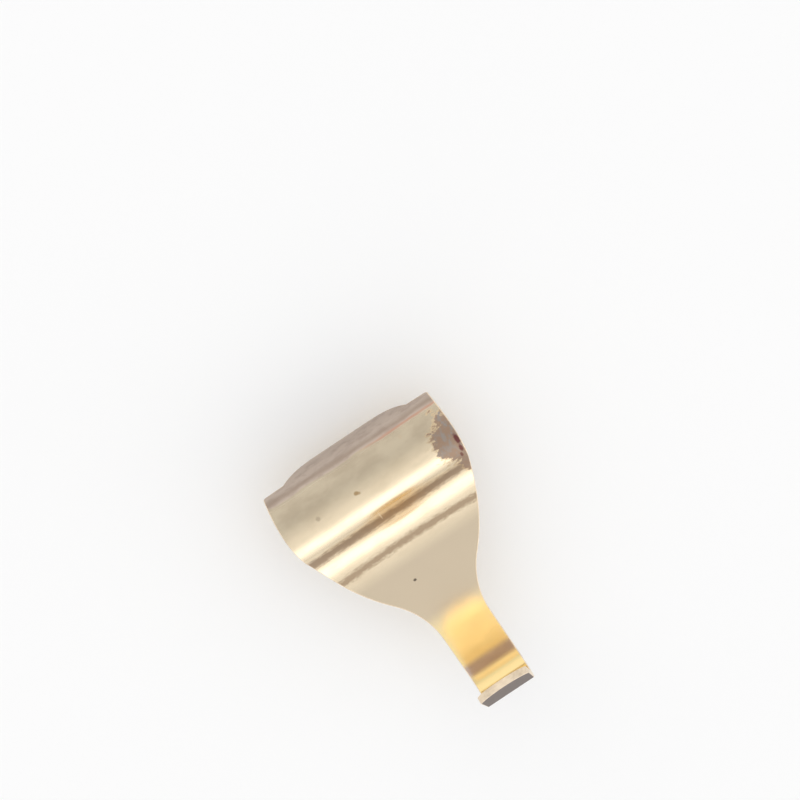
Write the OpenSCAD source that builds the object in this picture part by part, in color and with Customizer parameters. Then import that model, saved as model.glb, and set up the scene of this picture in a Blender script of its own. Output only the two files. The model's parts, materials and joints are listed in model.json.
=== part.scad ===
// Picture rail hook pressed from one sheet of brass.
// X runs across the hook, the front faces -Y and Z is up.
// The origin is the centre of the curl that goes over the rail's bead.

/* [Sheet] */
// Thickness of the sheet
sheet_t = 1.0; // [0.8:0.05:1.2]

/* [Rail curl] */
// Inner radius of the curl that sits on the rail
curl_r = 5.6; // [5.2:0.1:6.2]
// How far the middle of the top edge lies behind the curl's centre
crown_back = 2.7; // [2.2:0.1:3.4]
// Radius of the dome in the middle of the top edge, seen from above
crown_r = 14.0; // [12:0.5:15]
// How far the straight shoulders beside the dome lie in front of the curl's centre
shoulder_front = 1.45; // [1:0.05:2]

/* [Step back to the wall] */
// Slope of the step against the flat shank, in degrees
step_deg = 40; // [34:1:44]
// Front radius of the hollow bend under the step
step_r = 7.5; // [6.5:0.1:9]

/* [Shank and cord hook] */
// Length of the flat shank between the two bends
shank_len = 22.8; // [20:0.1:25]
// Inner radius of the bowl that carries the cord
bowl_r = 2.5; // [2.2:0.1:3.2]
// Angle the bowl turns through, in degrees
bowl_deg = 125; // [115:1:130]
// Straight tongue from the bowl to the tip
tongue_len = 11.7; // [9.5:0.1:12.5]

/* [Outline seen from the front] */
// Greatest width of the head
head_w = 26.8; // [25:0.1:28]
// Height of the widest place above the curl's centre
widest_z = 1.8; // [1:0.1:2.4]
// Radius of the head's swelling sides
side_r = 28.5; // [27:0.5:31]
// Radius of the sweep from the head into the tail
neck_r = 13.0; // [11:0.5:15]
// Width of the tail, the bowl and the tongue
tail_w = 7.7; // [7:0.1:8.4]

/* [Hidden] */
$fn = 144;
brass = [0.80, 0.68, 0.46];
// Room that a cutting shape has beyond the sheet
spare = 12;
// How far two shapes of one outline reach into each other
lap = 1;
// Two arcs that run on into each other cross by this much, so that their joint is clean
blend = 0.01;
// What the tip's radius has over half the tongue's width
tip_over = 0.1;

// Outer radii of the curl and the bowl
curl_out_r = curl_r + sheet_t;
bowl_out_r = bowl_r + sheet_t;
// The step's bend has its centre in front of the shank
bend_span = curl_out_r + step_r;
step_z = -bend_span * sin(step_deg);
step_y = -bend_span * cos(step_deg);
// Front face of the flat shank and its lower end
front_y = step_y + step_r;
shank_end_z = step_z - shank_len;
// The bowl's axis lies in front of the shank
bowl_y = front_y - bowl_r;
base_z = shank_end_z - bowl_out_r;
tip_r = tail_w / 2 + tip_over;

// The head's side is an arc about side_x that runs on into the neck's arc about neck_x
side_x = head_w / 2 - side_r;
neck_x = tail_w / 2 + neck_r;
arc_span = side_r + neck_r - blend;
neck_dx = neck_x - side_x;
neck_z = widest_z - sqrt(arc_span * arc_span - neck_dx * neck_dx);
meet_x = side_x + neck_dx * side_r / arc_span;
meet_z = widest_z + (neck_z - widest_z) * side_r / arc_span;

// All that lies behind the sheet's face of curl radius r, down to the end of the shank
module behind_face(r) {
    face_y = step_y + bend_span - r;
    circle(r = r);
    difference() {
        polygon([[0, 0], [step_y, step_z], [spare, step_z], [spare, 0]]);
        translate([step_y, step_z])
            circle(r = bend_span - r);
    }
    translate([face_y, shank_end_z])
        square([spare - face_y, shank_len - step_z / 2]);
}

// The curl, the step and the shank; x is depth and y is height
module head_section() {
    difference() {
        behind_face(curl_out_r);
        behind_face(curl_r);
        translate([crown_back + lap, -sheet_t])
            square(2 * spare);
    }
}

// The bowl's disc with a band up the shank and a band along the tongue
module bowl_blank(r, inside, up, along) {
    circle(r = r);
    translate([-inside, 0])
        square([r + inside, up]);
    rotate([0, 0, -bowl_deg])
        translate([-inside, -along])
            square([r + inside, along]);
}

// The lower shank, the bowl and the tongue
module cord_section() {
    translate([bowl_y, shank_end_z])
        difference() {
            bowl_blank(bowl_out_r, 0, shank_len / 2, tongue_len);
            bowl_blank(bowl_r, bowl_out_r, shank_len, tongue_len + spare);
        }
}

// Bell shape of the head, its neck and the tail, seen from the front
module front_outline() {
    difference() {
        union() {
            intersection() {
                translate([side_x, widest_z])
                    circle(r = side_r);
                translate([-side_x, widest_z])
                    circle(r = side_r);
            }
            translate([-meet_x, neck_z])
                square([2 * meet_x, meet_z - neck_z + lap]);
        }
        translate([neck_x, neck_z])
            circle(r = neck_r);
        translate([-neck_x, neck_z])
            circle(r = neck_r);
    }
    translate([-tail_w / 2, base_z - spare])
        square([tail_w, meet_z - base_z + spare]);
}

// What comes off behind the dome and the shoulders of the top edge, seen from above
module crown_waste() {
    difference() {
        translate([-head_w, -shoulder_front])
            square([2 * head_w, head_w]);
        translate([0, crown_back - crown_r])
            circle(r = crown_r);
    }
}

// What comes off the end of the tongue to round its tip, in the tongue's plane
module tip_waste() {
    difference() {
        translate([-tail_w, 0])
            square([2 * tail_w, tail_w]);
        circle(r = tip_r);
    }
}

// The folded sheet at full width, cut to the bell shape
module cut_sheet() {
    intersection() {
        rotate([90, 0, 90])
            translate([0, 0, -head_w])
                linear_extrude(height = 2 * head_w) {
                    head_section();
                    cord_section();
                }
        translate([0, 2 * spare, 0])
            rotate([90, 0, 0])
                linear_extrude(height = 5 * spare)
                    front_outline();
    }
}

// The hook in one piece, from the top edge over the rail to the tip of the tongue
module hook() {
    color(brass)
        difference() {
            cut_sheet();
            linear_extrude(height = spare)
                crown_waste();
            translate([0, bowl_y, shank_end_z])
                rotate([90 - bowl_deg, 0, 0])
                    translate([0, tip_r - tongue_len, -bowl_out_r - sheet_t])
                        rotate([0, 0, 180])
                            linear_extrude(height = 3 * sheet_t)
                                tip_waste();
        }
}

hook();
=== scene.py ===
"""Dresses a picture rail hook of bent sheet brass, and lights it in a small plain studio.

The hook is one strip of brass about 1 mm thick. It is blanked to a bell shape with a narrow tail
and bent into an S: a wide curl over the rail's bead, a step back to the wall, a flat shank, a
small bowl and a round-tipped tongue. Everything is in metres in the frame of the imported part:
X across, the front faces -Y, Z up, origin on the axis of the curl.
"""

import json
import logging
import math
from dataclasses import dataclass, field
from enum import Enum

import bpy
import numpy as np
from mathutils import Matrix, Vector


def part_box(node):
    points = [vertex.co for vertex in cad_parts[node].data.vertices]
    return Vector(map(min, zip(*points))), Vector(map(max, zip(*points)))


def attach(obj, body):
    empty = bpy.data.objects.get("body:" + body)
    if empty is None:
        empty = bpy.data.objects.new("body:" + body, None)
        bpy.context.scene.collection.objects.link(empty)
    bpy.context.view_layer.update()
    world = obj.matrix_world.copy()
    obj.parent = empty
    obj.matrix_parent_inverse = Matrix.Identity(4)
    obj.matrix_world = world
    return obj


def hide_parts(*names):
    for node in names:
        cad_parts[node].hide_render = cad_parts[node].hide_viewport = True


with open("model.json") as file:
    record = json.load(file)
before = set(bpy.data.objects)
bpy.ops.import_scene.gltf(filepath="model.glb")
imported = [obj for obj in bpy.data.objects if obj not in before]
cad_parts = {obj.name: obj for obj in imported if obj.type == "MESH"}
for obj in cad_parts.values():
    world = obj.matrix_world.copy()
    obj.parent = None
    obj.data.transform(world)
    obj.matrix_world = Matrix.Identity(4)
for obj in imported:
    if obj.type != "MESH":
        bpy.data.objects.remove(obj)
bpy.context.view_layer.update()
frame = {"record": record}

log = logging.getLogger("picture_rail_hook")

MM = 0.001

Colour = tuple[float, ...]
Socket = bpy.types.NodeSocket


class MaterialSlot(Enum):
    """Places of the two finishes on the hook's mesh."""

    FACE = 0
    CUT_EDGE = 1


def mount(name: str) -> dict:
    """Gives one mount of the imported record.

    Args:
        name: The mount's name.

    Returns:
        The mount's entry, with its position in metres and its sizes in millimetres.
    """
    return next(entry for entry in frame["record"]["mounts"] if entry["name"] == name)


@dataclass(frozen=True)
class HookSizes:
    """Driving sizes in metres and degrees, taken from the frame where it holds them."""

    curl_r: float = mount("rail_seat")["dims"]["r_mm"] * MM
    bowl_r: float = mount("cord_seat")["dims"]["r_mm"] * MM
    bowl_y: float = mount("cord_seat")["pos_m"][1]
    bowl_z: float = mount("cord_seat")["pos_m"][2]
    back_y: float = mount("wall_face")["pos_m"][1]
    head_w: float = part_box("hook")[1].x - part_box("hook")[0].x
    sheet_t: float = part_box("hook")[1].z - mount("rail_seat")["dims"]["r_mm"] * MM
    crown_back: float = 2.7 * MM
    crown_r: float = 14.0 * MM
    shoulder_front: float = 1.45 * MM
    brow_deg: float = 30.0
    brow_r: float = 5.9 * MM
    step_deg: float = 40.0
    bowl_deg: float = 125.0
    tongue_len: float = 11.7 * MM
    widest_z: float = 1.8 * MM
    side_r: float = 28.5 * MM
    neck_r: float = 13.0 * MM
    tail_w: float = 7.7 * MM
    tip_over: float = 0.1 * MM
    head_corner_r: float = 0.25 * MM
    arris_r: float = 0.12 * MM

    @property
    def curl_out_r(self) -> float:
        """Outer radius of the curl."""
        return self.curl_r + self.sheet_t

    @property
    def crown_deg(self) -> float:
        """How far past the crest the dome of the top edge reaches, in degrees."""
        return math.degrees(math.asin(self.crown_back / self.curl_out_r))

    @property
    def brow_centre(self) -> tuple[float, float]:
        """Axis of the tighter lower part of the curl, as depth and height."""
        shift = self.curl_out_r - self.brow_r
        angle = math.radians(self.brow_deg)
        return -shift * math.cos(angle), shift * math.sin(angle)

    @property
    def step_r(self) -> float:
        """Front radius of the bend under the step, which ends in the shank's plane."""
        angle = math.radians(self.step_deg)
        room = self.back_y - self.sheet_t - self.brow_centre[0] + self.brow_r * math.cos(angle)
        return room / (1 - math.cos(angle))

    @property
    def step_centre(self) -> tuple[float, float]:
        """Axis of the bend under the step, as depth and height."""
        span = self.brow_r + self.step_r
        angle = math.radians(self.step_deg)
        depth, height = self.brow_centre
        return depth - span * math.cos(angle), height - span * math.sin(angle)


@dataclass(frozen=True)
class Bend:
    """One arc of the folded section, run through from angle start to angle stop, in degrees."""

    centre: tuple[float, float]
    radius: float
    start: float
    stop: float
    front_is_outside: bool

    @property
    def length(self) -> float:
        """Length of the arc along the middle of the sheet."""
        return self.radius * math.radians(abs(self.stop - self.start))

    def at(self, run: float) -> tuple[np.ndarray, np.ndarray]:
        """Gives the point at a distance along the arc.

        Args:
            run: Distance from the arc's start along the middle of the sheet.

        Returns:
            The point and the normal of the front face, both as depth and height.
        """
        turn = math.copysign(run / self.radius, self.stop - self.start)
        angle = math.radians(self.start) + turn
        ray = np.array([math.cos(angle), math.sin(angle)])
        return np.array(self.centre) + self.radius * ray, ray if self.front_is_outside else -ray


@dataclass(frozen=True)
class Flat:
    """One flat stretch of the folded section."""

    start: tuple[float, float]
    direction: tuple[float, float]
    normal: tuple[float, float]
    length: float

    def at(self, run: float) -> tuple[np.ndarray, np.ndarray]:
        """Gives the point at a distance along the flat, and the normal of its front face."""
        return np.array(self.start) + run * np.array(self.direction), np.array(self.normal)


class FoldedSection:
    """The middle of the sheet in depth and height, from the tongue's tip to the end of the curl."""

    def __init__(self, sizes: HookSizes) -> None:
        """Chains the tongue, the bowl, the shank, the step and the curl's two bends.

        Args:
            sizes: The hook's driving sizes.
        """
        half = sizes.sheet_t / 2
        end = math.radians(-sizes.bowl_deg)
        bowl_mid = sizes.bowl_r + half
        bowl_axis = (sizes.bowl_y, sizes.bowl_z)
        foot = np.array(bowl_axis) + bowl_mid * np.array([math.cos(end), math.sin(end)])
        up_the_tongue = np.array([math.sin(end), -math.cos(end)])
        tip = foot + sizes.tongue_len * up_the_tongue
        tongue = Flat(
            tuple(tip), tuple(-up_the_tongue), (-math.cos(end), -math.sin(end)), sizes.tongue_len
        )
        bowl = Bend(bowl_axis, bowl_mid, -sizes.bowl_deg, 0.0, False)
        shank_y = sizes.back_y - half
        shank_len = sizes.step_centre[1] - sizes.bowl_z
        shank = Flat((shank_y, sizes.bowl_z), (0.0, 1.0), (-1.0, 0.0), shank_len)
        step = Bend(sizes.step_centre, sizes.step_r + half, 0.0, sizes.step_deg, False)
        brow_top = 180.0 - sizes.brow_deg
        brow = Bend(sizes.brow_centre, sizes.brow_r - half, 180.0 + sizes.step_deg, brow_top, True)
        curl = Bend((0.0, 0.0), sizes.curl_r + half, brow_top, 90.0 - sizes.crown_deg, True)
        self.parts: list[Flat | Bend] = [tongue, bowl, shank, step, brow, curl]
        self.starts = np.concatenate([[0.0], np.cumsum([part.length for part in self.parts])])

    @property
    def length(self) -> float:
        """Length of the whole strip along its middle."""
        return float(self.starts[-1])

    def at(self, run: float) -> tuple[np.ndarray, np.ndarray]:
        """Gives the point at a distance from the tongue's tip, and the normal of the front face.

        Args:
            run: Distance along the strip. Beyond either end it goes on in its last direction.

        Returns:
            The point and the normal, both as depth and height.
        """
        index = int(np.searchsorted(self.starts, run, side="right")) - 1
        index = min(max(index, 0), len(self.parts) - 1)
        return self.parts[index].at(run - self.starts[index])

    def levels(self, step_deg: float, step_len: float) -> np.ndarray:
        """Gives the distances at which the strip gets a row of points.

        Args:
            step_deg: Largest turn between two rows of a bend.
            step_len: Largest distance between two rows of a flat.

        Returns:
            Distances along the strip, in order.
        """
        found = []
        for part, start in zip(self.parts, self.starts):
            if isinstance(part, Bend):
                count = math.ceil(abs(part.stop - part.start) / step_deg)
            else:
                count = math.ceil(part.length / step_len)
            found.append(start + np.linspace(0.0, part.length, count + 1))
        return np.unique(np.concatenate(found))


class BlankOutline:
    """Half the strip's width at each distance along it."""

    def __init__(self, sizes: HookSizes, section: FoldedSection) -> None:
        """Works out the outline's arcs.

        Args:
            sizes: The hook's driving sizes.
            section: The folded section that the outline lies on.
        """
        self.sizes = sizes
        self.section = section
        self.tip_r = sizes.tail_w / 2 + sizes.tip_over
        self.side_x = sizes.head_w / 2 - sizes.side_r
        self.neck_x = sizes.tail_w / 2 + sizes.neck_r
        span = sizes.side_r + sizes.neck_r
        reach = self.neck_x - self.side_x
        self.neck_z = sizes.widest_z - math.sqrt(span * span - reach * reach)
        self.meet_z = sizes.widest_z + (self.neck_z - sizes.widest_z) * sizes.side_r / span
        self.crown_y = sizes.crown_back - sizes.crown_r
        self.face_scale = sizes.curl_out_r / (sizes.curl_r + sizes.sheet_t / 2)
        crest_rise = sizes.curl_out_r - sizes.widest_z
        self.shoulder_x = self.side_x + math.sqrt(sizes.side_r**2 - crest_rise**2)

    def half_width(self, run: float, inset: float) -> float:
        """Gives half the width at a distance along the strip.

        Args:
            run: Distance from the tongue's tip.
            inset: How far inside the true outline the answer lies.

        Returns:
            Half the width, or 0 beyond the ends.
        """
        sizes = self.sizes
        point, _ = self.section.at(run)
        depth, height = float(point[0]), float(point[1])
        widths = [self._side(height, inset)]
        if run < self.tip_r:
            r = self.tip_r - inset
            widths.append(math.sqrt(max(r * r - (self.tip_r - run) ** 2, 0.0)))
        if height > 0.0:
            widths.append(self._top_edge(depth * self.face_scale, inset))
        return max(min(widths), 0.0)

    def _side(self, height: float, inset: float) -> float:
        """Half the width of the bell shape at a height, seen from the front."""
        sizes = self.sizes
        if height <= self.neck_z:
            return sizes.tail_w / 2 - inset
        if height < self.meet_z:
            r = sizes.neck_r + inset
            return self.neck_x - math.sqrt(max(r * r - (height - self.neck_z) ** 2, 0.0))
        r = sizes.side_r - inset
        return self.side_x + math.sqrt(max(r * r - (height - sizes.widest_z) ** 2, 0.0))

    def _top_edge(self, depth: float, inset: float) -> float:
        """Half the width of the head at a depth: rounded shoulders beside a dome."""
        sizes = self.sizes
        shoulder = -sizes.shoulder_front
        corner_y = shoulder - sizes.head_corner_r
        if depth <= corner_y:
            return sizes.head_w
        if depth <= shoulder - inset:
            r = sizes.head_corner_r - inset
            reach = math.sqrt(max(r * r - (depth - corner_y) ** 2, 0.0))
            return self.shoulder_x - sizes.head_corner_r + reach
        r = sizes.crown_r - inset
        return math.sqrt(max(r * r - (depth - self.crown_y) ** 2, 0.0))

    def top_run(self, inset: float) -> float:
        """Distance along the strip at which the dome of the top edge ends."""
        sizes = self.sizes
        full = math.asin(sizes.crown_back / sizes.curl_out_r)
        part = math.asin((sizes.crown_back - inset) / sizes.curl_out_r)
        return self.section.length - (sizes.curl_r + sizes.sheet_t / 2) * (full - part)


@dataclass
class HookSheet:
    """The hook's skin: two faces and a rim with softened arrises, in one closed mesh."""

    sizes: HookSizes
    columns: int = 44
    arris_steps: int = 4
    row_turn_deg: float = 1.5
    row_len: float = 0.45 * MM
    rim_len: float = 0.22 * MM
    fine_rows: int = 6000
    row_gap: float = 0.02 * MM
    probe_len: float = 0.01 * MM
    point_w: float = 1e-7
    points: list[np.ndarray] = field(default_factory=list)
    normals: list[np.ndarray] = field(default_factory=list)
    flat_xy: list[tuple[float, float]] = field(default_factory=list)
    faces: list[tuple[int, ...]] = field(default_factory=list)
    slots: list[MaterialSlot] = field(default_factory=list)

    def __post_init__(self) -> None:
        """Makes the section and the outline that the sheet follows."""
        self.section = FoldedSection(self.sizes)
        self.outline = BlankOutline(self.sizes, self.section)

    def _rows(self) -> list[tuple[float, float]]:
        """Gives each row's distance along the strip with half its width inside the arris."""
        inset = self.sizes.arris_r
        low, high = inset, self.outline.top_run(inset)
        fine = np.linspace(low, high, self.fine_rows)
        widths = np.array([self.outline.half_width(run, inset) for run in fine])
        along_edge = np.concatenate([[0.0], np.cumsum(np.hypot(np.diff(fine), np.diff(widths)))])
        count = math.ceil(along_edge[-1] / self.rim_len)
        by_edge = np.interp(np.linspace(0.0, along_edge[-1], count + 1), along_edge, fine)
        by_bend = self.section.levels(self.row_turn_deg, self.row_len)
        runs = np.unique(np.concatenate([by_edge, by_bend[(by_bend > low) & (by_bend < high)]]))
        runs = runs[np.concatenate([[True], np.diff(runs) > self.row_gap])]
        runs[-1] = high
        return [(float(run), self.outline.half_width(float(run), inset)) for run in runs]

    def _add_point(
        self, x: float, run: float, rise: float, lean: float, out: tuple[float, float]
    ) -> int:
        """Adds one point of the skin.

        Args:
            x: Place across the strip.
            run: Place along the strip.
            rise: Height over the middle of the sheet, positive on the front.
            lean: Angle of the normal from the rim's outward direction to the front, radians.
            out: Outward direction of the rim on the flat blank, across and along.

        Returns:
            The point's index.
        """
        centre, front = self.section.at(run)
        along = np.array([0.0, front[1], -front[0]])
        if self.section.at(run + self.probe_len)[0] @ along[1:] < centre @ along[1:]:
            along = -along
        outward = out[0] * np.array([1.0, 0.0, 0.0]) + out[1] * along
        normal3 = np.array([0.0, front[0], front[1]])
        self.points.append(np.array([x, centre[0], centre[1]]) + rise * normal3)
        self.normals.append(math.cos(lean) * outward + math.sin(lean) * normal3)
        self.flat_xy.append((x, run))
        return len(self.points) - 1

    def _add_face(self, corners: tuple[int, ...], slot: MaterialSlot) -> None:
        """Adds one face of the skin, in the given finish."""
        self.faces.append(corners)
        self.slots.append(slot)

    def _fill_face(self, rows: list[tuple[float, float]], side: float) -> list[list[int]]:
        """Makes the front or the back face of the sheet.

        Args:
            rows: Each row's distance along the strip and half its width.
            side: 1 for the front face, -1 for the back.

        Returns:
            The point indices, row by row.
        """
        rise = side * self.sizes.sheet_t / 2
        lean = side * math.pi / 2
        grid = []
        for run, half in rows:
            across = [0.0] if half < self.point_w else np.linspace(-half, half, self.columns + 1)
            grid.append([self._add_point(float(x), run, rise, lean, (0.0, 0.0)) for x in across])
        for lower, upper in zip(grid, grid[1:]):
            for i in range(self.columns):
                if len(lower) == 1:
                    corners = (lower[0], upper[i + 1], upper[i])
                elif len(upper) == 1:
                    corners = (lower[i], lower[i + 1], upper[0])
                else:
                    corners = (lower[i], lower[i + 1], upper[i + 1], upper[i])
                self._add_face(corners if side > 0 else corners[::-1], MaterialSlot.FACE)
        return grid

    @staticmethod
    def _loop(grid: list[list[int]]) -> list[int]:
        """Gives a face's outline: up the right side, over the top and down the left."""
        right = [row[-1] for row in grid]
        top = grid[-1][-2:0:-1]
        left = [row[0] for row in reversed(grid) if len(row) > 1]
        return right + top + left

    def _rim(self, front: list[int], back: list[int]) -> None:
        """Joins the two faces by a rim whose arrises are rounded.

        Args:
            front: Outline of the front face.
            back: Outline of the back face, point for point.
        """
        sizes = self.sizes
        flat = np.array([self.flat_xy[i] for i in front])
        step = np.roll(flat, -1, axis=0) - np.roll(flat, 1, axis=0)
        out = np.stack([step[:, 1], -step[:, 0]], axis=1)
        out /= np.linalg.norm(out, axis=1)[:, None]
        flank = sizes.sheet_t / 2 - sizes.arris_r
        turns = np.linspace(math.pi / 2, 0.0, self.arris_steps + 1)[1:]
        profile = [(lean, 1.0) for lean in turns] + [(-lean, -1.0) for lean in turns[::-1]]
        rings = [front]
        for lean, side in profile:
            reach = sizes.arris_r * math.cos(lean)
            rise = side * flank + sizes.arris_r * math.sin(lean)
            ring = []
            for (x, run), (ox, orun) in zip(flat, out):
                spot = (x + reach * ox, run + reach * orun)
                ring.append(self._add_point(*spot, rise, lean, (ox, orun)))
            rings.append(ring)
        rings.append(back)
        count = len(front)
        for a, b in zip(rings, rings[1:]):
            for i in range(count):
                j = (i + 1) % count
                self._add_face((a[i], b[i], b[j], a[j]), MaterialSlot.CUT_EDGE)

    def build(self) -> bpy.types.Object:
        """Builds the skin, puts it on the part's body and lets it stand for the plain solid.

        Returns:
            The hook's object, without materials.
        """
        rows = self._rows()
        front = self._fill_face(rows, 1.0)
        back = self._fill_face(rows, -1.0)
        self._rim(self._loop(front), self._loop(back))
        mesh = bpy.data.meshes.new("hook_sheet")
        mesh.from_pydata([tuple(p) for p in self.points], [], self.faces)
        mesh.polygons.foreach_set("material_index", [slot.value for slot in self.slots])
        mesh.polygons.foreach_set("use_smooth", [True] * len(self.faces))
        blank = mesh.uv_layers.new(name="blank")
        corners = np.zeros(len(mesh.loops), dtype=np.int32)
        mesh.loops.foreach_get("vertex_index", corners)
        blank.data.foreach_set("uv", (np.array(self.flat_xy)[corners] / self.sizes.head_w).ravel())
        mesh.normals_split_custom_set_from_vertices([tuple(n) for n in self.normals])
        mesh.validate()
        hook = bpy.data.objects.new("hook_sheet", mesh)
        bpy.context.scene.collection.objects.link(hook)
        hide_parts("hook")
        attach(hook, "root")
        log.info("hook sheet: %d faces, %.1f mm long", len(self.faces), self.section.length / MM)
        return hook


@dataclass(frozen=True)
class Grain:
    """One noise: how its place is stretched, its scale per millimetre, detail and roughness."""

    stretch: tuple[float, float, float]
    scale: float
    detail: float
    roughness: float


class NodeBoard:
    """A short way to put nodes on a material's or a group's tree and to join them."""

    def __init__(self, tree: bpy.types.NodeTree) -> None:
        """Keeps the tree that the nodes go on."""
        self.tree = tree

    def add(self, kind: str, **settings: object) -> bpy.types.Node:
        """Adds a node and sets its properties.

        Args:
            kind: Blender's name of the node's type.
            **settings: Properties of the node and their values.

        Returns:
            The new node.
        """
        node = self.tree.nodes.new(kind)
        for name, value in settings.items():
            setattr(node, name, value)
        return node

    def feed(self, socket: bpy.types.NodeSocket, value: object) -> None:
        """Links an output to the socket, or sets the socket's own value."""
        if isinstance(value, bpy.types.NodeSocket):
            self.tree.links.new(value, socket)
        else:
            socket.default_value = value

    def math(self, operation: str, *values: object) -> Socket:
        """Adds a Math node.

        Args:
            operation: Blender's name of the operation.
            *values: Outputs or plain numbers for its inputs.

        Returns:
            The node's output.
        """
        node = self.add("ShaderNodeMath", operation=operation)
        for socket, value in zip(node.inputs, values):
            self.feed(socket, value)
        return node.outputs[0]

    def times(self, a: object, b: object) -> Socket:
        """Multiplies two values."""
        return self.math("MULTIPLY", a, b)

    def swing(self, noise: object, width: float) -> Socket:
        """Turns a noise of 0 to 1 into a push to both sides, over the given width in all."""
        return self.times(self.math("SUBTRACT", noise, 0.5), width)

    def ramp(
        self, value: object, low: float, high: float, to: tuple[float, float] = (0.0, 1.0)
    ) -> Socket:
        """Adds a smooth step of the value from low to high."""
        node = self.add("ShaderNodeMapRange", interpolation_type="SMOOTHSTEP")
        names = ("Value", "From Min", "From Max", "To Min", "To Max")
        for name, item in zip(names, (value, low, high, *to)):
            self.feed(node.inputs[name], item)
        return node.outputs["Result"]

    def fall(self, value: object, low: float, high: float) -> Socket:
        """Adds a smooth step of the value, from 1 at low to 0 at high."""
        return self.ramp(value, low, high, (1.0, 0.0))

    def mix(self, factor: object, a: object, b: object) -> Socket:
        """Adds a colour mix from a to b."""
        node = self.add("ShaderNodeMix", data_type="RGBA")
        self.feed(node.inputs["Factor"], factor)
        self.feed(node.inputs[6], a)
        self.feed(node.inputs[7], b)
        return node.outputs[2]

    def noise(self, place: object, grain: Grain) -> Socket:
        """Adds a noise texture over a place in millimetres and gives its value."""
        node = self.add("ShaderNodeTexNoise")
        self.feed(node.inputs["Vector"], self.stretch(place, grain.stretch))
        node.inputs["Scale"].default_value = grain.scale
        node.inputs["Detail"].default_value = grain.detail
        node.inputs["Roughness"].default_value = grain.roughness
        return node.outputs["Fac"]

    def bump(self, height: object, strength: float, distance: float) -> Socket:
        """Adds a Bump node over a height and gives its normal."""
        node = self.add("ShaderNodeBump")
        node.inputs["Strength"].default_value = strength
        node.inputs["Distance"].default_value = distance
        self.feed(node.inputs["Height"], height)
        return node.outputs["Normal"]

    def place_mm(self) -> Socket:
        """Gives the place on the hook in millimetres of the part's frame."""
        source = self.add("ShaderNodeTexCoord")
        scale = self.add("ShaderNodeVectorMath", operation="SCALE")
        self.feed(scale.inputs[0], source.outputs["Object"])
        scale.inputs["Scale"].default_value = 1 / MM
        return scale.outputs["Vector"]

    def split(self, vector: object) -> tuple[Socket, ...]:
        """Gives the three parts of a vector."""
        node = self.add("ShaderNodeSeparateXYZ")
        self.feed(node.inputs[0], vector)
        return tuple(node.outputs)

    def stretch(self, place: object, scale: tuple[float, float, float]) -> Socket:
        """Scales a place differently along its three axes."""
        node = self.add("ShaderNodeVectorMath", operation="MULTIPLY")
        self.feed(node.inputs[0], place)
        node.inputs[1].default_value = scale
        return node.outputs["Vector"]

    def near(self, value: object, centre: float, core: float, reach: float) -> Socket:
        """Adds a mask of 1 within the core of a centre, which falls to 0 at the reach."""
        offset = self.math("ABSOLUTE", self.math("SUBTRACT", value, centre))
        return self.fall(offset, core, reach)


def new_material(name: str) -> tuple[bpy.types.Material, NodeBoard, bpy.types.Node]:
    """Makes a material, and gives it with its board and its Principled BSDF."""
    material = bpy.data.materials.new(name)
    material.use_nodes = True
    tree = material.node_tree
    return material, NodeBoard(tree), tree.nodes["Principled BSDF"]


def new_group(
    name: str, inputs: list[tuple[str, str, object]], outputs: list[tuple[str, str]]
) -> bpy.types.NodeTree:
    """Makes an empty shader node group.

    Args:
        name: The group's name.
        inputs: Name, socket type and default value of each input.
        outputs: Name and socket type of each output.

    Returns:
        The group's tree.
    """
    group = bpy.data.node_groups.new(name, "ShaderNodeTree")
    for label, kind, value in inputs:
        socket = group.interface.new_socket(name=label, in_out="INPUT", socket_type=kind)
        if value is not None:
            socket.default_value = value
    for label, kind in outputs:
        group.interface.new_socket(name=label, in_out="OUTPUT", socket_type=kind)
    return group


def cloudy_film_group() -> bpy.types.NodeTree:
    """Makes the group of the faint clouds and the grain that handling and rolling leave.

    Returns:
        A group that takes a place in millimetres and gives a mask of clouds and a fine height.
    """
    group = new_group(
        "cloudy_film",
        [("Place", "NodeSocketVector", None), ("Cloud Scale", "NodeSocketFloat", 0.35)],
        [("Clouds", "NodeSocketFloat"), ("Grain", "NodeSocketFloat")],
    )
    board = NodeBoard(group)
    given = board.add("NodeGroupInput")
    result = board.add("NodeGroupOutput")
    clouds = board.add("ShaderNodeTexNoise")
    board.feed(clouds.inputs["Vector"], board.stretch(given.outputs["Place"], (0.6, 1.0, 1.4)))
    board.feed(clouds.inputs["Scale"], given.outputs["Cloud Scale"])
    clouds.inputs["Detail"].default_value = 6.0
    clouds.inputs["Roughness"].default_value = 0.62
    board.feed(result.inputs["Clouds"], board.ramp(clouds.outputs["Fac"], 0.38, 0.68))
    grain = board.noise(given.outputs["Place"], Grain((1.0, 3.0, 3.0), 1.6, 5.0, 0.7))
    board.feed(result.inputs["Grain"], grain)
    return group


@dataclass(frozen=True)
class Blot:
    """One small mark on the front face, in millimetres of the part's frame."""

    x: float
    z: float
    half_w: float
    half_h: float
    colour: Colour
    strength: float = 1.0


@dataclass(frozen=True)
class Ground:
    """What the zones of the brass are worked out from: places, directions and noises."""

    place: Socket
    x: Socket
    y: Socket
    z: Socket
    front: Socket
    lying: Socket
    clouds: Socket
    grain: Socket
    fine: Socket


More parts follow.
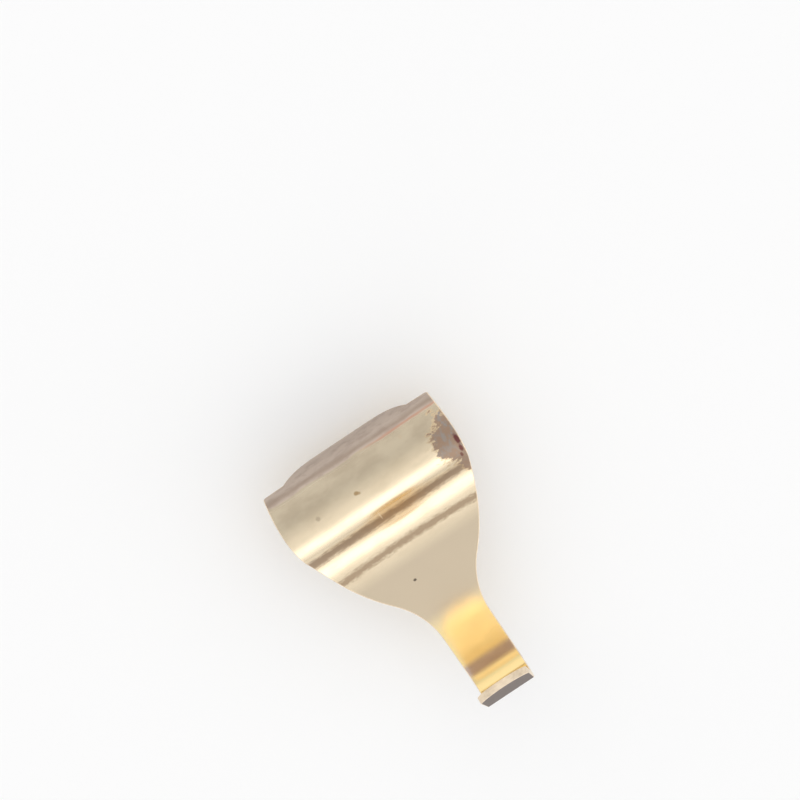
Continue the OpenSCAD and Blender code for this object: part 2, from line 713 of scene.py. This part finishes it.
@dataclass(frozen=True)
class BrassFinish:
    """Bright rolled brass under a thin lacquer, with the marks that the hook has and with painted
    shade and reflections on the front face.

    Heights and places are in millimetres of the part's frame.
    """

    gold: Colour = (0.93, 0.78, 0.56, 1.0)
    dull: Colour = (0.80, 0.66, 0.46, 1.0)
    # Painted shade: a darker copy of the gold for the flat shank's front face.
    pale: Colour = (0.66, 0.55, 0.405, 1.0)
    # Painted shade: a darker colour for the front face of the head's upper part, clouded below.
    head_shade: Colour = (0.50, 0.425, 0.31, 1.0)
    # Painted reflection: warm gold on the lower shank behind the tongue, for the tongue mirrored in
    # it.
    shank_gold_reflection: Colour = (0.93, 0.75, 0.39, 1.0)
    shade: Colour = (0.12, 0.08, 0.06, 1.0)
    # Painted shade: a dark band across the steepest part of the step, for the dark reflection
    # there.
    fold: Colour = (0.41, 0.30, 0.205, 1.0)
    # Painted shade: a dark band across the bend at the heel of the bowl.
    heel_shade: Colour = (0.56, 0.46, 0.42, 1.0)
    # Painted reflection: warm gold inside the bowl.
    bowl_gold_reflection: Colour = (0.86, 0.66, 0.31, 1.0)
    # Painted shade: a brown strip at the foot of the step.
    strip: Colour = (0.48, 0.36, 0.24, 1.0)
    # Painted shade: the darker colour along the crest, mottled and streaked; the crest is also
    # rougher there.
    film: Colour = (0.52, 0.43, 0.36, 1.0)
    crest_shade_streak: Colour = (0.33, 0.255, 0.20, 1.0)
    film_border: Colour = (0.50, 0.27, 0.20, 1.0)
    head_shade_cloud: Colour = (0.40, 0.33, 0.235, 1.0)
    crest_shade_mottle: Colour = (0.41, 0.325, 0.27, 1.0)
    patch: Colour = (0.33, 0.22, 0.155, 1.0)
    patch_streak: Colour = (0.30, 0.27, 0.25, 1.0)
    fringe: Colour = (0.66, 0.48, 0.28, 1.0)
    roughness: float = 0.17
    dull_roughness: float = 0.46
    pale_top: float = -9.3
    pale_full: float = -12.6
    pale_low: float = -20.0
    pale_end: float = -24.3
    head_shade_low: float = 0.9
    head_shade_full: float = 3.6
    under_tongue_z: float = -22.0
    fold_z: float = -4.18
    fold_core: float = 0.35
    fold_reach: float = 1.25
    fold_dull_core: float = 0.9
    fold_dull_reach: float = 1.9
    fold_dullness: float = 0.65
    heel_z: float = -30.95
    heel_core: float = 0.35
    heel_reach: float = 1.6
    cup_top: float = -32.2
    cup_full: float = -33.2
    tongue_y: float = -8.5
    strip_z: float = -8.98
    strip_sag: float = 0.003
    strip_core: float = 0.15
    strip_reach: float = 0.90
    crest_shade_and_film_z: float = 5.38
    crest_shade_soft: float = 0.13
    border_from_x: float = 1.5
    patch_x: float = 13.0
    patch_z: float = 0.15
    patch_half_w: float = 3.3
    patch_half_h: float = 3.8
    tail_x: float = 13.4
    tail_z: float = -3.6
    tail_half_w: float = 1.7
    tail_half_h: float = 2.2
    cloud_scale: float = 0.30
    cloud_share: float = 0.55
    head_shade_share: float = 0.70
    front_normals: tuple[float, float] = (-0.25, -0.05)
    under_normals: tuple[float, float] = (-0.70, -0.30)
    under_soft: float = 1.0
    tongue_soft: float = 1.5
    fine_grain: Grain = Grain((0.5, 1.0, 1.6), 1.5, 5.0, 0.7)
    strip_swing: float = 1.5
    drift_grain: Grain = Grain((0.16, 0.5, 1.0), 1.1, 5.0, 0.6)
    drift_swing: float = 0.7
    band_half: float = 0.42
    band_share: float = 0.75
    mottle_grain: Grain = Grain((0.5, 1.0, 1.0), 0.8, 6.0, 0.65)
    mottle_levels: tuple[float, float] = (0.42, 0.66)
    mottle_share: float = 0.80
    film_rough: tuple[float, float] = (-0.35, -0.10)
    border_drop: float = 0.05
    border_half: float = 0.22
    border_full_x: float = 7.0
    border_swing: float = 3.0
    border_share: float = 0.80
    rag_grain: Grain = Grain((1.0, 1.0, 1.8), 0.62, 5.0, 0.72)
    rag_swing: float = 1.7
    patch_soft: float = 0.06
    patch_share: float = 0.93
    fringe_grow: float = -0.13
    fringe_share: float = 0.55
    streak_grain: Grain = Grain((1.0, 1.0, 0.5), 1.3, 5.0, 0.7)
    streak_levels: tuple[float, float] = (0.46, 0.62)
    streak_z: tuple[float, float] = (-3.0, 2.5)
    streak_least: float = 0.35
    blot_swing: float = 1.2
    blot_soft: float = 0.35
    small_blot: float = 1.0
    cloud_roughness: float = 0.06
    patch_dulling: float = 0.35
    bump_strength: float = 0.08
    bump_depth: float = 0.02 * MM
    blots: tuple[Blot, ...] = (
        Blot(-2.1, 1.62, 0.30, 0.24, (0.42, 0.26, 0.10, 1.0), 0.75),
        Blot(-1.75, 1.45, 0.22, 0.18, (0.42, 0.26, 0.10, 1.0), 0.55),
        Blot(-8.1, 1.6, 0.34, 0.30, (0.40, 0.32, 0.22, 1.0), 0.45),
        Blot(-1.2, -3.35, 0.08, 0.75, (1.0, 0.93, 0.80, 1.0), 0.60),
        Blot(-2.4, -14.7, 0.22, 0.18, (0.10, 0.08, 0.06, 1.0), 0.85),
        Blot(6.8, 4.3, 0.25, 0.25, (0.50, 0.40, 0.28, 1.0), 0.45),
        Blot(12.9, 0.3, 0.34, 0.75, (0.12, 0.015, 0.02, 1.0), 0.85),
        Blot(12.75, -1.15, 0.26, 0.55, (0.12, 0.015, 0.02, 1.0), 0.80),
        Blot(12.35, -2.2, 0.20, 0.35, (0.14, 0.03, 0.03, 1.0), 0.70),
    )

    def _ground(self, board: NodeBoard, clouds: bpy.types.NodeTree) -> Ground:
        """Makes the places, directions and noises that the zones share.

        Args:
            board: The material's board.
            clouds: The cloudy film group.

        Returns:
            Their outputs.
        """
        place = board.place_mm()
        x, y, z = board.split(place)
        _, facing, lying = board.split(board.add("ShaderNodeTexCoord").outputs["Normal"])
        cloud = board.add("ShaderNodeGroup", node_tree=clouds)
        board.feed(cloud.inputs["Place"], place)
        cloud.inputs["Cloud Scale"].default_value = self.cloud_scale
        return Ground(
            place=place,
            x=x,
            y=y,
            z=z,
            front=board.fall(facing, *self.front_normals),
            lying=lying,
            clouds=cloud.outputs["Clouds"],
            grain=cloud.outputs["Grain"],
            fine=board.noise(place, self.fine_grain),
        )

    def _spot(self, board: NodeBoard, on: Ground, blot: Blot, wobble: object) -> Socket:
        """Makes the mask of an oval mark whose border a noise makes uneven.

        Args:
            board: The material's board.
            on: The places on the hook.
            blot: The mark's place and size.
            wobble: What is added to the distance from the mark's middle.

        Returns:
            The mask, which is 1 inside the mark.
        """
        across = board.math("DIVIDE", board.math("SUBTRACT", on.x, blot.x), blot.half_w)
        up = board.math("DIVIDE", board.math("SUBTRACT", on.z, blot.z), blot.half_h)
        square = board.math("ADD", board.times(across, across), board.times(up, up))
        away = board.math("ADD", board.math("SQRT", square), wobble)
        soft = self.blot_soft if blot.half_h < self.small_blot else self.patch_soft
        return board.times(board.fall(away, 1.0 - soft, 1.0 + soft), blot.strength)

    def _patch_mask(self, board: NodeBoard, on: Ground, grow: float) -> Socket:
        """Makes the mask of the jagged tarnished patch at the right of the head.

        Args:
            board: The material's board.
            on: The places on the hook.
            grow: What is added to the distance from the middle; below 0 the mask is wider.

        Returns:
            The mask, which is 1 inside the patch.
        """
        rags = board.noise(on.place, self.rag_grain)
        wobble = board.math("MULTIPLY_ADD", rags, self.rag_swing, grow - self.rag_swing / 2)
        body = Blot(self.patch_x, self.patch_z, self.patch_half_w, self.patch_half_h, self.patch)
        tail = Blot(self.tail_x, self.tail_z, self.tail_half_w, self.tail_half_h, self.patch)
        spots = [self._spot(board, on, blot, wobble) for blot in (body, tail)]
        return board.math("MAXIMUM", *spots)

    def _metal(self, board: NodeBoard, on: Ground) -> Socket:
        """Makes the sheet's clouded colour, with painted shade and reflections in zones down the
        front face.
        """
        plain = board.mix(board.times(on.clouds, self.cloud_share), self.gold, self.dull)
        # Painted shade: the upper part of the head's front face is darker, and clouded.
        head_shade = board.mix(board.times(on.clouds, self.head_shade_share), self.head_shade, self.head_shade_cloud)
        colour = board.mix(board.ramp(on.z, self.head_shade_low, self.head_shade_full), plain, head_shade)
        # Painted shade: the flat shank's front face takes the darker pale colour.
        shank = board.times(
            board.fall(on.z, self.pale_full, self.pale_top),
            board.ramp(on.z, self.pale_end, self.pale_low),
        )
        colour = board.mix(shank, colour, self.pale)
        behind_tongue = board.ramp(on.y, self.tongue_y, self.tongue_y + self.tongue_soft)
        # Painted reflection: the lower shank's front face behind the tongue turns warm gold.
        low = board.fall(on.z, self.pale_end, self.pale_low)
        colour = board.mix(board.times(low, behind_tongue), colour, self.shank_gold_reflection)
        # Painted shade: a dark band at the heel, behind the tongue.
        heel_shade = board.near(on.z, self.heel_z, self.heel_core, self.heel_reach)
        colour = board.mix(board.times(heel_shade, behind_tongue), colour, self.heel_shade)
        # Painted reflection: the bowl's front face behind the tongue turns warm gold.
        bowl_gold_reflection = board.fall(on.z, self.cup_full, self.cup_top)
        colour = board.mix(board.times(bowl_gold_reflection, behind_tongue), colour, self.bowl_gold_reflection)
        return board.mix(on.front, plain, colour)

    def _under(self, board: NodeBoard, on: Ground) -> Socket:
        """Makes the mask of the tongue's outer face, which looks down."""
        return board.times(
            board.fall(on.z, self.under_tongue_z - self.under_soft, self.under_tongue_z),
            board.fall(on.lying, *self.under_normals),
        )

    def _step_shades(self, board: NodeBoard, on: Ground, colour: Socket) -> Socket:
        """Lays painted shade over a colour: a brown strip at the foot of the step and a dark band
        in its fold.
        """
        uneven = board.math("ADD", on.z, board.swing(on.fine, self.strip_swing))
        sag = board.times(board.times(on.x, on.x), self.strip_sag)
        level = board.math("ADD", uneven, sag)
        # Painted shade: a brown strip at the foot of the step, front faces only.
        strip = board.near(level, self.strip_z, self.strip_core, self.strip_reach)
        colour = board.mix(board.times(strip, on.front), colour, self.strip)
        # Painted shade: a dark band in the step's fold, front faces only.
        fold = board.near(uneven, self.fold_z, self.fold_core, self.fold_reach)
        return board.mix(board.times(fold, on.front), colour, self.fold)

    def _crest_shade_and_rough_film(self, board: NodeBoard, on: Ground, colour: Socket) -> tuple[Socket, Socket]:
        """Lays painted shade along the crest, where the finish is also rougher, and its reddish
        border over a colour.

        Args:
            board: The material's board.
            on: The places and noises on the hook.
            colour: The colour below the painted shade.

        Returns:
            The new colour, and the mask of where the film is rough.
        """
        drift = board.swing(board.noise(on.place, self.drift_grain), self.drift_swing)
        level = board.math("ADD", on.z, drift)
        # Painted shade along the crest: its mask.
        film = board.ramp(level, self.crest_shade_and_film_z - self.crest_shade_soft, self.crest_shade_and_film_z + self.crest_shade_soft)
        band = board.near(level, self.crest_shade_and_film_z + self.band_half, 0.0, self.band_half)
        mottle = board.ramp(board.noise(on.place, self.mottle_grain), *self.mottle_levels)
        tone = board.mix(board.times(mottle, self.mottle_share), self.film, self.crest_shade_mottle)
        tone = board.mix(board.times(band, self.band_share), tone, self.crest_shade_streak)
        colour = board.mix(film, colour, tone)
        rim = board.near(level, self.crest_shade_and_film_z - self.border_drop, 0.0, self.border_half)
        side = board.math("ADD", on.x, board.times(on.fine, self.border_swing))
        border = board.times(rim, board.ramp(side, self.border_from_x, self.border_full_x))
        colour = board.mix(board.times(border, self.border_share), colour, self.film_border)
        low, high = self.film_rough
        return colour, board.ramp(level, self.crest_shade_and_film_z + low, self.crest_shade_and_film_z + high)

    def _tarnish(self, board: NodeBoard, on: Ground, colour: Socket) -> tuple[Socket, Socket]:
        """Lays the tarnished patch and its warm fringe over a colour.

        Args:
            board: The material's board.
            on: The places on the hook.
            colour: The colour below the patch.

        Returns:
            The new colour, and the patch's mask.
        """
        patch = board.times(self._patch_mask(board, on, 0.0), on.front)
        fringe = board.times(self._patch_mask(board, on, self.fringe_grow), on.front)
        colour = board.mix(board.times(fringe, self.fringe_share), colour, self.fringe)
        streaks = board.ramp(board.noise(on.place, self.streak_grain), *self.streak_levels)
        upper = board.ramp(on.z, *self.streak_z, (self.streak_least, 1.0))
        tone = board.mix(board.times(streaks, upper), self.patch, self.patch_streak)
        return board.mix(board.times(patch, self.patch_share), colour, tone), patch

    def _marks(self, board: NodeBoard, on: Ground, colour: Socket) -> Socket:
        """Lays the small marks over a colour."""
        wobble = board.swing(on.fine, self.blot_swing)
        for blot in self.blots:
            mask = board.times(self._spot(board, on, blot, wobble), on.front)
            colour = board.mix(mask, colour, blot.colour)
        return colour

    def _roughness(self, board: NodeBoard, on: Ground, dull: Socket) -> Socket:
        """Makes the roughness, from the mask of the dull places and the worn fold."""
        worn = board.near(on.z, self.fold_z, self.fold_dull_core, self.fold_dull_reach)
        dull = board.math("MAXIMUM", dull, board.times(worn, self.fold_dullness))
        bright = board.math("ADD", board.times(on.clouds, self.cloud_roughness), self.roughness)
        spread = board.math("SUBTRACT", self.dull_roughness, bright)
        return board.math("ADD", bright, board.times(dull, spread))

    def build(self, clouds: bpy.types.NodeTree) -> bpy.types.Material:
        """Builds the material.

        Args:
            clouds: The cloudy film group.

        Returns:
            The finished material.
        """
        material, board, shader = new_material("bright_brass")
        on = self._ground(board, clouds)
        under = self._under(board, on)
        colour = board.mix(under, self._metal(board, on), self.shade)
        # Painted shade at the step and along the crest, which is also made rougher.
        colour, rough_film = self._crest_shade_and_rough_film(board, on, self._step_shades(board, on, colour))
        colour, patch = self._tarnish(board, on, colour)
        board.feed(shader.inputs["Base Color"], self._marks(board, on, colour))
        dull = board.math("MAXIMUM", board.math("MAXIMUM", rough_film, patch), under)
        board.feed(shader.inputs["Roughness"], self._roughness(board, on, dull))
        metallic = board.math("SUBTRACT", 1.0, board.times(patch, self.patch_dulling))
        board.feed(shader.inputs["Metallic"], metallic)
        normal = board.bump(on.grain, self.bump_strength, self.bump_depth)
        board.feed(shader.inputs["Normal"], normal)
        return material


@dataclass(frozen=True)
class ShearedEdgeFinish:
    """The cut rim of the sheet: paler and coarser than the faces."""

    pale: Colour = (0.86, 0.72, 0.54, 1.0)
    dull: Colour = (0.74, 0.60, 0.44, 1.0)
    roughness: float = 0.36
    cloud_scale: float = 1.8
    bump_strength: float = 0.25
    bump_depth: float = 0.03 * MM

    def build(self, clouds: bpy.types.NodeTree) -> bpy.types.Material:
        """Builds the material around the cloudy film group."""
        material, board, shader = new_material("sheared_brass_edge")
        film = board.add("ShaderNodeGroup", node_tree=clouds)
        board.feed(film.inputs["Place"], board.place_mm())
        film.inputs["Cloud Scale"].default_value = self.cloud_scale
        colour = board.mix(film.outputs["Clouds"], self.pale, self.dull)
        board.feed(shader.inputs["Base Color"], colour)
        shader.inputs["Metallic"].default_value = 1.0
        shader.inputs["Roughness"].default_value = self.roughness
        normal = board.bump(film.outputs["Grain"], self.bump_strength, self.bump_depth)
        board.feed(shader.inputs["Normal"], normal)
        return material


@dataclass(frozen=True)
class SoftLamp:
    """One soft box that looks at the hook."""

    name: str
    height_deg: float
    side_deg: float
    distance: float
    width: float
    height: float
    radiance: float

    def build(self, target: Vector) -> bpy.types.Object:
        """Puts the lamp in the scene, turned to the target."""
        up = math.radians(self.height_deg)
        side = math.radians(self.side_deg)
        level = math.cos(up)
        away = Vector((math.sin(side) * level, -math.cos(side) * level, math.sin(up)))
        lamp = bpy.data.lights.new(self.name, "AREA")
        lamp.shape = "RECTANGLE"
        lamp.size = self.width
        lamp.size_y = self.height
        lamp.energy = self.radiance * math.pi * self.width * self.height
        holder = bpy.data.objects.new(self.name, lamp)
        holder.location = target + self.distance * away
        holder.rotation_mode = "QUATERNION"
        holder.rotation_quaternion = away.to_track_quat("Z", "Y")
        bpy.context.scene.collection.objects.link(holder)
        return holder


@dataclass(frozen=True)
class Surround:
    """The soft light all around: how bright it is at each elevation, in front and behind."""

    levels: tuple[tuple[float, float], ...] = (
        (-90.0, 0.40),
        (-83.0, 0.68),
        (-76.0, 0.90),
        (-66.0, 1.18),
        (-58.0, 1.65),
        (-43.0, 1.70),
        (-36.0, 1.25),
        (-27.0, 0.97),
        (-20.0, 0.90),
        (-10.0, 0.86),
        (3.0, 0.78),
        (24.0, 0.90),
        (45.0, 1.16),
        (80.0, 1.20),
        (90.0, 1.05),
    )
    behind_low: float = 0.80
    behind_high: float = 0.70

    def build(self) -> bpy.types.World:
        """Builds the scene's world."""
        world = bpy.data.worlds.new("surround")
        bpy.context.scene.world = world
        world.use_nodes = True
        board = NodeBoard(world.node_tree)
        peak = max(level for _, level in self.levels)
        towards = board.add("ShaderNodeTexCoord").outputs["Generated"]
        _, depth, rise = board.split(towards)
        turn = board.math("DIVIDE", board.math("ARCSINE", rise), math.pi)
        front = board.add("ShaderNodeValToRGB")
        board.feed(front.inputs["Fac"], board.math("ADD", turn, 0.5))
        stops = front.color_ramp.elements
        while len(stops) < len(self.levels):
            stops.new(0.5)
        for stop, (elevation, _) in zip(stops, self.levels):
            stop.position = elevation / 180.0 + 0.5
        for stop, (_, level) in zip(stops, self.levels):
            stop.color = (level / peak,) * 3 + (1.0,)
        behind = board.ramp(rise, -0.5, 0.8, (self.behind_low / peak, self.behind_high / peak))
        shade = board.mix(board.ramp(depth, 0.0, 0.35), front.outputs["Color"], behind)
        background = world.node_tree.nodes["Background"]
        background.inputs["Strength"].default_value = peak
        board.feed(background.inputs["Color"], shade)
        return world


@dataclass
class Studio:
    """A pale wall close behind the hook, one soft lamp above, the surround and the camera."""

    sizes: HookSizes
    wall_gap: float = 3.0 * MM
    wall_top: float = 80.0 * MM
    wall_low: float = -95.0 * MM
    half_span: float = 0.45
    camera_side: float = 9.5 * MM
    camera_rise_deg: float = 18.0
    camera_roll_deg: float = 33.6
    camera_distance: float = 200.0 * MM
    camera_level_z: float = 6.28 * MM
    field_deg: float = 30.3
    clip_start: float = 0.005
    clip_end: float = 10.0
    paper: Colour = (0.95, 0.95, 0.95, 1.0)
    paper_roughness: float = 0.9
    paper_sheen: float = 0.1
    lamp_aim: tuple[float, float, float] = (0.0, 0.0, -12.0 * MM)
    lamp: SoftLamp = SoftLamp(
        name="top_lamp",
        height_deg=95.0,
        side_deg=0.0,
        distance=0.35,
        width=0.40,
        height=0.07,
        radiance=0.80,
    )

    def _wall(self) -> bpy.types.Object:
        """Builds the plain pale wall, which only shows from its front."""
        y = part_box("hook")[1].y + self.wall_gap
        low, high, span = self.wall_low, self.wall_top, self.half_span
        mesh = bpy.data.meshes.new("wall")
        corners = [(-span, y, low), (span, y, low), (span, y, high), (-span, y, high)]
        mesh.from_pydata(corners, [], [(0, 1, 2, 3)])
        wall = bpy.data.objects.new("wall", mesh)
        bpy.context.scene.collection.objects.link(wall)
        mesh.materials.append(self._paper())
        return wall

    def _paper(self) -> bpy.types.Material:
        """Makes the wall's pale paper, clear from behind."""
        material, board, shader = new_material("pale_paper")
        output = material.node_tree.nodes["Material Output"]
        shader.inputs["Base Color"].default_value = self.paper
        shader.inputs["Roughness"].default_value = self.paper_roughness
        shader.inputs["Specular IOR Level"].default_value = self.paper_sheen
        clear = board.add("ShaderNodeBsdfTransparent")
        seen_from = board.add("ShaderNodeNewGeometry")
        choose = board.add("ShaderNodeMixShader")
        board.feed(choose.inputs["Fac"], seen_from.outputs["Backfacing"])
        board.feed(choose.inputs[1], shader.outputs["BSDF"])
        board.feed(choose.inputs[2], clear.outputs["BSDF"])
        board.feed(output.inputs["Surface"], choose.outputs["Shader"])
        return material

    def _camera(self) -> bpy.types.Object:
        """Puts the camera where the photograph was taken from."""
        rise = math.radians(self.camera_rise_deg)
        roll = math.radians(self.camera_roll_deg)
        back = Vector((0.0, -math.cos(rise), math.sin(rise)))
        upright = Vector((0.0, math.sin(rise), math.cos(rise)))
        across = Vector((1.0, 0.0, 0.0))
        right = math.cos(roll) * across - math.sin(roll) * upright
        up = math.sin(roll) * across + math.cos(roll) * upright
        side = self.camera_side
        aim = Vector((side, self.camera_level_z * math.tan(rise), self.camera_level_z))
        face_y = self.sizes.back_y - self.sizes.sheet_t
        shank_top = Vector((side, face_y, self.sizes.step_centre[1]))
        distance = self.camera_distance + (shank_top - aim).dot(back)
        data = bpy.data.cameras.new("camera")
        data.sensor_fit = "HORIZONTAL"
        data.angle = math.radians(self.field_deg)
        data.clip_start = self.clip_start
        data.clip_end = self.clip_end
        camera = bpy.data.objects.new("camera", data)
        turn = Matrix((right, up, back)).transposed().to_4x4()
        camera.matrix_world = Matrix.Translation(aim + distance * back) @ turn
        bpy.context.scene.collection.objects.link(camera)
        bpy.context.scene.camera = camera
        return camera

    def build(self) -> None:
        """Builds the whole studio."""
        bpy.context.scene.view_settings.view_transform = "Standard"
        self._camera()
        self._wall()
        Surround().build()
        self.lamp.build(Vector(self.lamp_aim))
        log.info("studio: wall, surround, lamp and camera")


def main() -> None:
    """Builds the hook and its studio."""
    logging.basicConfig(level=logging.INFO, format="%(name)s: %(message)s")
    sizes = HookSizes()
    hook = HookSheet(sizes).build()
    clouds = cloudy_film_group()
    hook.data.materials.append(BrassFinish().build(clouds))
    hook.data.materials.append(ShearedEdgeFinish().build(clouds))
    log.info("finishes: %s", ", ".join(m.name for m in hook.data.materials))
    Studio(sizes).build()


if __name__ == "__main__":
    main()
